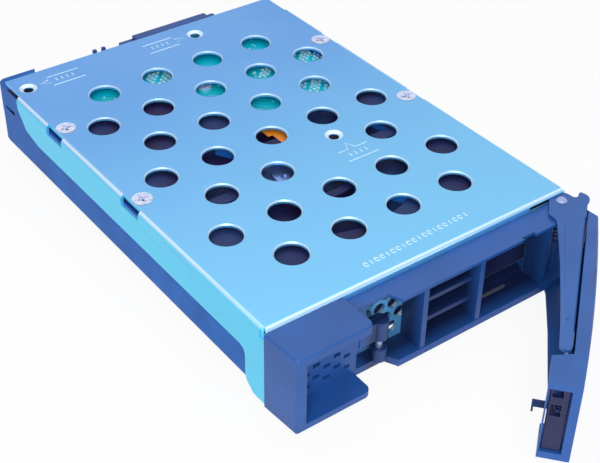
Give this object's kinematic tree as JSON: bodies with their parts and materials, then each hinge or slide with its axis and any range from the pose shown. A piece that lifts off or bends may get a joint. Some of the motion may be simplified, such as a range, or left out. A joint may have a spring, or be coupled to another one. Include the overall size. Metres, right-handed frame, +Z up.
{
  "type": "hot swap drive caddy",
  "caption": "Hot swap drive caddy with a 3.5 inch drive under a folded, perforated steel tray, a vented plastic bezel and a sprung locking handle, shown open.",
  "frame": {"origin": "on the plane the caddy rests on, straight below the centre of the four screws that hold the drive", "axes": "+X across the caddy towards the handle's pivot, +Y from the bezel towards the drive's connector, +Z up from the drive's cover to the tray's top"},
  "size_m": [0.1077, 0.2084, 0.0271],
  "materials": {
    "tray_steel": "zinc plated sheet, satin",
    "screw_steel": "bright plated",
    "bezel_plastic": "fine texture",
    "grip_plastic": "fine texture",
    "button_plastic": "fine texture",
    "lever_steel": "dark coated sheet, satin",
    "pin_steel": "plated",
    "spring_steel": "bright wire",
    "drive_casting": "black coated casting",
    "drive_cover_metal": "satin",
    "board_green": "solder mask",
    "connector_plastic": "moulded",
    "contact_gold": "plated",
    "chip_black": "moulded",
    "hub_metal": "machined",
    "flex_orange": "film"
  },
  "bodies": {
    "carrier": {"tray": "tray_steel", "tray_screws": "screw_steel", "bezel": "bezel_plastic", "bezel_screws": "screw_steel", "strike_pin": "pin_steel", "pivot_pin": "pin_steel", "handle_spring": "spring_steel", "drive_base": "drive_casting", "drive_cover": "drive_cover_metal", "cover_screws": "screw_steel", "circuit_board": "board_green", "board_screws": "screw_steel", "data_power_connector": "connector_plastic", "connector_contacts": "contact_gold", "jumper_block": "connector_plastic", "jumper_pins": "contact_gold", "controller_chip": "chip_black", "motor_chip": "chip_black", "memory_chip": "chip_black", "spindle_hub": "hub_metal", "motor_flex": "flex_orange"},
    "handle": {"handle_lever": "lever_steel", "handle_grip": "grip_plastic", "grip_rivets": "pin_steel", "latch_clip": "spring_steel", "clip_rivet": "pin_steel", "button_spring": "spring_steel"},
    "button": {"release_button": "button_plastic"}
  },
  "joints": [
    {"name": "handle_hinge", "type": "hinge", "parent": "carrier", "child": "handle", "pos_m": [0.048, -0.089, 0.01355], "axis": [0, 0, 1], "range_deg": [-40, 0], "stiffness_Nm_per_rad": 0.05, "springref_deg": 28.65, "deforming": ["handle_spring", "latch_clip"]},
    {"name": "button_slide", "type": "slide", "parent": "handle", "child": "button", "axis": [-0.766, -0.6428, 0], "range_m": [-0.002, 0], "stiffness_N_per_m": 500, "springref_m": 0.002, "deforming": ["button_spring", "latch_clip"]}
  ]
}
